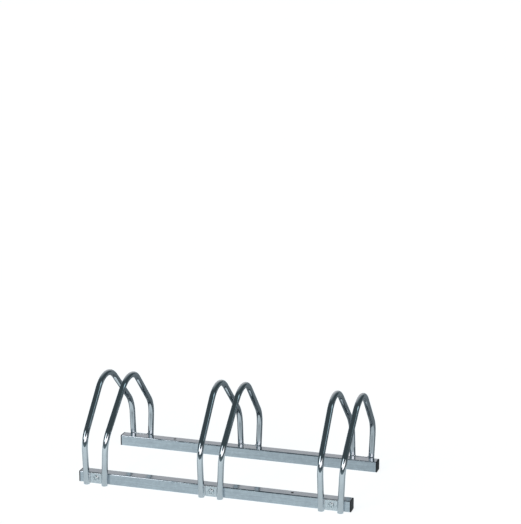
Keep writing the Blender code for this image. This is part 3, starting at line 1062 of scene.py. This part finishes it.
# Floor: its size, its stretches along Y, and the share of its inner light at the left and at the right
FLOOR_HALF = 40.0
FLOOR_DROP = 0.0002
FLOOR_ROUGHNESS = 0.9
FAR_FLOOR = (-1.3 * FACE_Y, -2.8 * FACE_Y)
INNER_FLOOR = (-RAIL_Y, 0.4 * RAIL_Y)
INNER_LEFT_TO_RIGHT = (1.13, 0.68)

# Soft boxes and panel: azimuths, counted from the front to the right, then elevations, in degrees
BOX_SOFTNESS = 2.0
LEFT_BOX = ((-61, 0), (21, 50))
LEFT_BOX_PIVOT = -40.0
LEFT_BOX_TILT = 0.3
LEFT_BOX_FADE = (-50.0, -24.0, 0.15, 1.0)
RIGHT_BOX = ((-14, 68), (17, 35))
SIDE_PANEL = ((96, 112), (28, 48))

# The left box starts where a direction points this far to the left
LEFT_BOX_CUT = (-0.31, -0.34)

# Glow over the horizon in front: by how far ahead a direction points, and by its elevation
GLOW_AHEAD = (0.3, 0.8)
GLOW_HEIGHT = (16.0, 2.0)
GLOW = 0.15

# Wall behind: azimuths from the back, and elevation
WALL_LEFT = (-60.0, -42.0)
WALL_RIGHT = (18.0, -10.0)
WALL_HEIGHT = (75.0, 12.0)


def between(tree, value, low, high):
    """One between two limits, and nothing outside them, over a soft edge."""
    risen = spread(tree, value, low - BOX_SOFTNESS, low + BOX_SOFTNESS)
    fallen = spread(tree, value, high + BOX_SOFTNESS, high - BOX_SOFTNESS)
    return times(tree, risen, fallen)


def soft_box(tree, azimuth, elevation, sideways, upward):
    """Light between two azimuths and two elevations."""
    return times(tree, between(tree, azimuth, *sideways), between(tree, elevation, *upward))


def floor_material(settings):
    """Pale floor that stays white in the picture and keeps the rack's shadow.

    In reflections it glows with painted light: strongest in front of the rack, where the soft boxes are,
    with painted shadow just behind the front rail, painted shade towards the right between the rails, and a
    dim glow behind the rack.
    """
    material, tree, shader = open_material("studio_floor")
    at = put(tree, 'ShaderNodeSeparateXYZ', {0: pattern_coordinates(tree, 'OBJECT')}).outputs
    lowest, usual = settings.floor_shade, settings.floor_near
    # Painted shadow of the front rail: the glow dips just behind it
    near = spread(tree, at["Y"], -RAIL_Y, -FACE_Y, lowest, usual)
    # Painted light: the glow grows further in front of the rack
    far = spread(tree, at["Y"], *FAR_FLOOR, 0.0, settings.floor_far - usual)
    # Between the rails the glow rises again, with painted shade towards the right
    inside = spread(tree, at["Y"], *INNER_FLOOR, 0.0, usual - lowest)
    slanted = spread(tree, at["X"], -RAIL_END_X, RAIL_END_X, *INNER_LEFT_TO_RIGHT)
    painted_light = sums(tree, 'ADD', sums(tree, 'ADD', near, far), times(tree, inside, slanted))
    # Painted shade behind the rack: there the glow falls to a dim level
    behind = spread(tree, at["Y"], RAIL_Y, FACE_Y)
    mirrored = blend_numbers(tree, behind, painted_light, settings.floor_dim)
    ray = put(tree, 'ShaderNodeLightPath').outputs
    camera = ray["Is Camera Ray"]
    direct = sums(tree, 'MAXIMUM', camera, ray["Is Glossy Ray"])
    direct = sums(tree, 'MAXIMUM', direct, ray["Is Transmission Ray"])
    wire(tree, shader, {
        "Base Color": (*settings.floor, 1.0),
        "Roughness": FLOOR_ROUGHNESS,
        "Specular IOR Level": 0.0,
        "Emission Color": blend_colours(tree, camera, (*settings.floor_tint, 1.0), WHITE),
        "Emission Strength": times(tree, blend_numbers(tree, camera, mirrored, settings.floor_lift), direct),
    })
    return material


def surround(settings):
    """A dim room with two soft boxes in front, a panel at the right and a pale wall behind.

    The camera sees plain white in its place.
    """
    world = bpy.data.worlds.new("studio_surround")
    bpy.context.scene.world = world
    world.use_nodes = True
    tree = world.node_tree
    way = put(tree, 'ShaderNodeTexCoord').outputs["Generated"]
    part = put(tree, 'ShaderNodeSeparateXYZ', {0: way}).outputs
    azimuth = sums(tree, 'DEGREES', sums(tree, 'ARCTAN2', part["X"], times(tree, part["Y"], -1.0)))
    elevation = sums(tree, 'DEGREES', sums(tree, 'ARCSINE', part["Z"]))

    rise = times(tree, sums(tree, 'SUBTRACT', azimuth, LEFT_BOX_PIVOT), LEFT_BOX_TILT)
    left = soft_box(tree, azimuth, sums(tree, 'SUBTRACT', elevation, rise), *LEFT_BOX)
    left = times(tree, left, spread(tree, part["X"], *LEFT_BOX_CUT), spread(tree, azimuth, *LEFT_BOX_FADE))
    right = soft_box(tree, azimuth, elevation, *RIGHT_BOX)
    side = soft_box(tree, azimuth, elevation, *SIDE_PANEL)
    ahead = put(tree, 'ShaderNodeVectorMath', {0: way, 1: (0.0, -1.0, 0.0)}, operation='DOT_PRODUCT')
    glow = times(tree, spread(tree, ahead.outputs["Value"], *GLOW_AHEAD),
                 spread(tree, elevation, *GLOW_HEIGHT))
    from_back = sums(tree, 'DEGREES', sums(tree, 'ARCTAN2', part["X"], part["Y"]))
    wall = times(tree, spread(tree, from_back, *WALL_LEFT), spread(tree, from_back, *WALL_RIGHT),
                 spread(tree, elevation, *WALL_HEIGHT))
    level = settings.room
    for light, strength in (
        (left, settings.left_box), (right, settings.right_box), (glow, GLOW),
        (side, settings.side_panel), (wall, settings.wall),
    ):
        level = sums(tree, 'MULTIPLY_ADD', light, strength, level)

    boxed = sums(tree, 'MINIMUM', sums(tree, 'ADD', left, right), 1.0)
    hue = blend_colours(tree, sums(tree, 'MAXIMUM', wall, boxed), (*settings.room_tint, 1.0),
                        (*settings.wall_tint, 1.0))
    ray = put(tree, 'ShaderNodeLightPath').outputs["Is Camera Ray"]
    wire(tree, tree.nodes["Background"], {
        "Color": blend_colours(tree, ray, hue, WHITE),
        "Strength": blend_numbers(tree, ray, level, 1.0),
    })


class RACK_OT_stage(bpy.types.Operator):
    """Set the floor, the surround and the camera"""
    bl_idname = "rack.stage"
    bl_label = "Stage"

    def execute(self, context):
        settings = context.scene.bicycle_rack.stage
        bm = bmesh.new()
        bmesh.ops.create_grid(bm, x_segments=1, y_segments=1, size=FLOOR_HALF)
        bm.transform(Matrix.Translation((0, 0, -FLOOR_DROP)))
        floor = mesh_object("floor", bm, floor_material(settings))
        surround(settings)
        view = bpy.data.cameras.new("camera")
        view.lens = settings.lens
        view.sensor_width = SENSOR
        camera = bpy.data.objects.new("camera", view)
        bpy.context.collection.objects.link(camera)
        camera.location = CAMERA_PLACE
        camera.rotation_euler = Euler([math.radians(turn) for turn in CAMERA_TURN])
        context.scene.camera = camera
        context.scene.view_settings.view_transform = 'Standard'
        return {'FINISHED'}


OPERATORS = (RACK_OT_rails, RACK_OT_end_caps, RACK_OT_hoops, RACK_OT_link_plates, RACK_OT_welds,
             RACK_OT_screws, RACK_OT_rivet_nuts, RACK_OT_stage)


class RACK_PT_sidebar(bpy.types.Panel):
    """Lists the rack's pieces and their settings"""
    bl_idname = "RACK_PT_sidebar"
    bl_label = "Bicycle rack"
    bl_space_type = 'VIEW_3D'
    bl_region_type = 'UI'
    bl_category = "Bicycle rack"

    def draw(self, context):
        rack = context.scene.bicycle_rack
        for operator in OPERATORS:
            self.layout.operator(operator.bl_idname)
        for title in RackSettings.__annotations__:
            group = getattr(rack, title)
            box = self.layout.box()
            for name in group.__annotations__:
                box.prop(group, name)


CLASSES = (RackRailSettings, RackCapSettings, RackHoopSettings, RackPlateSettings, RackWeldSettings,
           RackScrewSettings, RackFinishSettings, RackStageSettings, RackSettings,
           *OPERATORS, RACK_PT_sidebar)


def register():
    for item in CLASSES:
        bpy.utils.register_class(item)
    bpy.types.Scene.bicycle_rack = PointerProperty(type=RackSettings)


def unregister():
    del bpy.types.Scene.bicycle_rack
    for item in reversed(CLASSES):
        bpy.utils.unregister_class(item)


def main():
    register()
    bpy.ops.rack.rails()
    bpy.ops.rack.end_caps()
    bpy.ops.rack.hoops()
    bpy.ops.rack.link_plates()
    bpy.ops.rack.welds()
    bpy.ops.rack.screws()
    bpy.ops.rack.rivet_nuts()
    bpy.ops.rack.stage()


if __name__ == "__main__":
    main()
